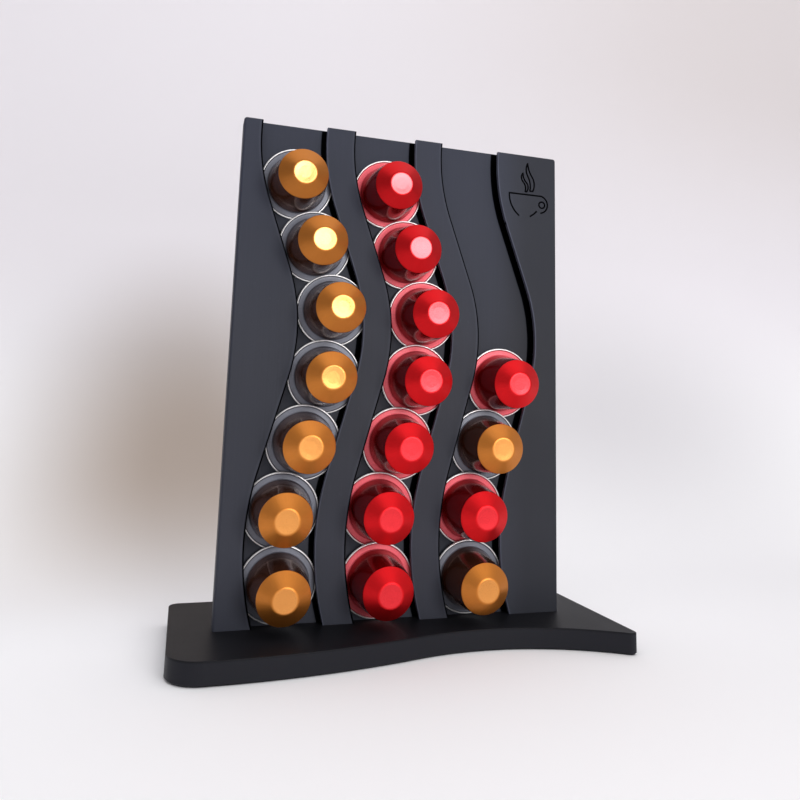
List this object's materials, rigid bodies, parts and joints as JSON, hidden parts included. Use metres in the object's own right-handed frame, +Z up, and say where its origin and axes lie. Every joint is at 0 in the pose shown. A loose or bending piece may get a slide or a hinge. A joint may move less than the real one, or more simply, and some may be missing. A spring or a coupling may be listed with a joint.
{
  "type": "coffee capsule holder",
  "caption": "Upright dark panel with wavy open channels on a flat base with a curved front. Coffee capsules stand nose out in the channels and travel up them to be taken out.",
  "frame": {"origin": "middle of the base's underside", "axes": "+Z up, -Y to the front where the capsules' noses point, +X to the right seen from the front"},
  "size_m": [0.214, 0.1, 0.257],
  "materials": {
    "panel": "matte charcoal",
    "rails": "matte charcoal with fine upright streaks",
    "base": "satin charcoal",
    "screws": "dark steel",
    "gold_cup": "lacquered orange gold, glossy",
    "red_cup": "lacquered red, glossy",
    "foil": "plain foil",
    "coffee": "ground coffee"
  },
  "bodies": {
    "holder": {"base_plate": "base", "back_panel": "panel", "left_rail": "rails", "centre_rails": "rails", "right_rail": "rails", "screws": "screws"},
    "left_capsule_1": {"left_cup_1": "gold_cup", "left_lid_1": "foil", "left_coffee_1": "coffee"},
    "left_capsule_2": {"left_cup_2": "gold_cup", "left_lid_2": "foil", "left_coffee_2": "coffee"},
    "left_capsule_3": {"left_cup_3": "gold_cup", "left_lid_3": "foil", "left_coffee_3": "coffee"},
    "left_capsule_4": {"left_cup_4": "gold_cup", "left_lid_4": "foil", "left_coffee_4": "coffee"},
    "left_capsule_5": {"left_cup_5": "gold_cup", "left_lid_5": "foil", "left_coffee_5": "coffee"},
    "left_capsule_6": {"left_cup_6": "gold_cup", "left_lid_6": "foil", "left_coffee_6": "coffee"},
    "left_capsule_7": {"left_cup_7": "gold_cup", "left_lid_7": "foil", "left_coffee_7": "coffee"},
    "middle_capsule_1": {"middle_cup_1": "red_cup", "middle_lid_1": "foil", "middle_coffee_1": "coffee"},
    "middle_capsule_2": {"middle_cup_2": "red_cup", "middle_lid_2": "foil", "middle_coffee_2": "coffee"},
    "middle_capsule_3": {"middle_cup_3": "red_cup", "middle_lid_3": "foil", "middle_coffee_3": "coffee"},
    "middle_capsule_4": {"middle_cup_4": "red_cup", "middle_lid_4": "foil", "middle_coffee_4": "coffee"},
    "middle_capsule_5": {"middle_cup_5": "red_cup", "middle_lid_5": "foil", "middle_coffee_5": "coffee"},
    "middle_capsule_6": {"middle_cup_6": "red_cup", "middle_lid_6": "foil", "middle_coffee_6": "coffee"},
    "middle_capsule_7": {"middle_cup_7": "red_cup", "middle_lid_7": "foil", "middle_coffee_7": "coffee"},
    "right_capsule_1": {"right_cup_1": "gold_cup", "right_lid_1": "foil", "right_coffee_1": "coffee"},
    "right_capsule_2": {"right_cup_2": "red_cup", "right_lid_2": "foil", "right_coffee_2": "coffee"},
    "right_capsule_3": {"right_cup_3": "gold_cup", "right_lid_3": "foil", "right_coffee_3": "coffee"},
    "right_capsule_4": {"right_cup_4": "red_cup", "right_lid_4": "foil", "right_coffee_4": "coffee"}
  },
  "joints": [
    {"name": "left_push_up", "type": "hinge", "parent": "holder", "child": "left_capsule_1", "pos_m": [0.06919, -0.0022, 0.0469], "axis": [0, 1, 0], "range_deg": [0, 15.06]},
    {"name": "left_travel_2", "type": "hinge", "parent": "holder", "child": "left_capsule_2", "pos_m": [0.14838, -0.0022, 0.02085], "axis": [0, 1, 0], "range_deg": [0, 9.17]},
    {"name": "left_travel_3", "type": "slide", "parent": "holder", "child": "left_capsule_3", "axis": [0.2649, 0, 0.9643], "range_m": [0, 0.0338]},
    {"name": "left_travel_4", "type": "hinge", "parent": "holder", "child": "left_capsule_4", "pos_m": [-0.12748, -0.0022, 0.15175], "axis": [0, -1, 0], "range_deg": [0, 21.61]},
    {"name": "left_travel_5", "type": "hinge", "parent": "holder", "child": "left_capsule_5", "pos_m": [-0.17466, -0.0022, 0.13486], "axis": [0, -1, 0], "range_deg": [0, 13.93]},
    {"name": "left_travel_6", "type": "hinge", "parent": "holder", "child": "left_capsule_6", "pos_m": [0.09621, -0.0022, 0.26029], "axis": [0, 1, 0], "range_deg": [0, 12.2]},
    {"name": "left_take_out", "type": "hinge", "parent": "left_capsule_6", "child": "left_capsule_7", "pos_m": [0.09621, -0.0022, 0.26029], "axis": [0, 1, 0], "range_deg": [0, 18.72]},
    {"name": "middle_push_up", "type": "hinge", "parent": "holder", "child": "middle_capsule_1", "pos_m": [0.11749, -0.0022, 0.0469], "axis": [0, 1, 0], "range_deg": [0, 15.06]},
    {"name": "middle_travel_2", "type": "hinge", "parent": "holder", "child": "middle_capsule_2", "pos_m": [0.19668, -0.0022, 0.02085], "axis": [0, 1, 0], "range_deg": [0, 9.17]},
    {"name": "middle_travel_3", "type": "slide", "parent": "holder", "child": "middle_capsule_3", "axis": [0.2649, 0, 0.9643], "range_m": [0, 0.0338]},
    {"name": "middle_travel_4", "type": "hinge", "parent": "holder", "child": "middle_capsule_4", "pos_m": [-0.07918, -0.0022, 0.15175], "axis": [0, -1, 0], "range_deg": [0, 21.61]},
    {"name": "middle_travel_5", "type": "hinge", "parent": "holder", "child": "middle_capsule_5", "pos_m": [-0.12636, -0.0022, 0.13486], "axis": [0, -1, 0], "range_deg": [0, 13.93]},
    {"name": "middle_travel_6", "type": "hinge", "parent": "holder", "child": "middle_capsule_6", "pos_m": [0.14451, -0.0022, 0.26029], "axis": [0, 1, 0], "range_deg": [0, 12.2]},
    {"name": "middle_take_out", "type": "hinge", "parent": "middle_capsule_6", "child": "middle_capsule_7", "pos_m": [0.14451, -0.0022, 0.26029], "axis": [0, 1, 0], "range_deg": [0, 18.72]},
    {"name": "right_push_up", "type": "hinge", "parent": "holder", "child": "right_capsule_1", "pos_m": [0.16579, -0.0022, 0.0469], "axis": [0, 1, 0], "range_deg": [0, 15.06]},
    {"name": "right_travel_2", "type": "hinge", "parent": "holder", "child": "right_capsule_2", "pos_m": [0.24547, -0.0022, 0.02632], "axis": [0, 1, 0], "range_deg": [0, 9.2]},
    {"name": "right_travel_3", "type": "hinge", "parent": "holder", "child": "right_capsule_3", "pos_m": [-0.08339, -0.0022, 0.14793], "axis": [0, -1, 0], "range_deg": [0, 13.88]},
    {"name": "right_take_out", "type": "hinge", "parent": "right_capsule_3", "child": "right_capsule_4", "pos_m": [-0.08339, -0.0022, 0.14793], "axis": [0, -1, 0], "range_deg": [0, 13.88]}
  ],
  "couplings": [
    {"joint": "left_travel_2", "follows": "left_push_up", "ratio": 0.60911},
    {"joint": "left_travel_3", "follows": "left_push_up", "m_per_rad": 0.12862},
    {"joint": "left_travel_4", "follows": "left_push_up", "ratio": 1.4351},
    {"joint": "left_travel_5", "follows": "left_push_up", "ratio": 0.9252},
    {"joint": "left_travel_6", "follows": "left_push_up", "ratio": 0.80972},
    {"joint": "middle_travel_2", "follows": "middle_push_up", "ratio": 0.60911},
    {"joint": "middle_travel_3", "follows": "middle_push_up", "m_per_rad": 0.12862},
    {"joint": "middle_travel_4", "follows": "middle_push_up", "ratio": 1.4351},
    {"joint": "middle_travel_5", "follows": "middle_push_up", "ratio": 0.9252},
    {"joint": "middle_travel_6", "follows": "middle_push_up", "ratio": 0.80972},
    {"joint": "right_travel_2", "follows": "right_push_up", "ratio": 0.61064},
    {"joint": "right_travel_3", "follows": "right_push_up", "ratio": 0.92166}
  ]
}
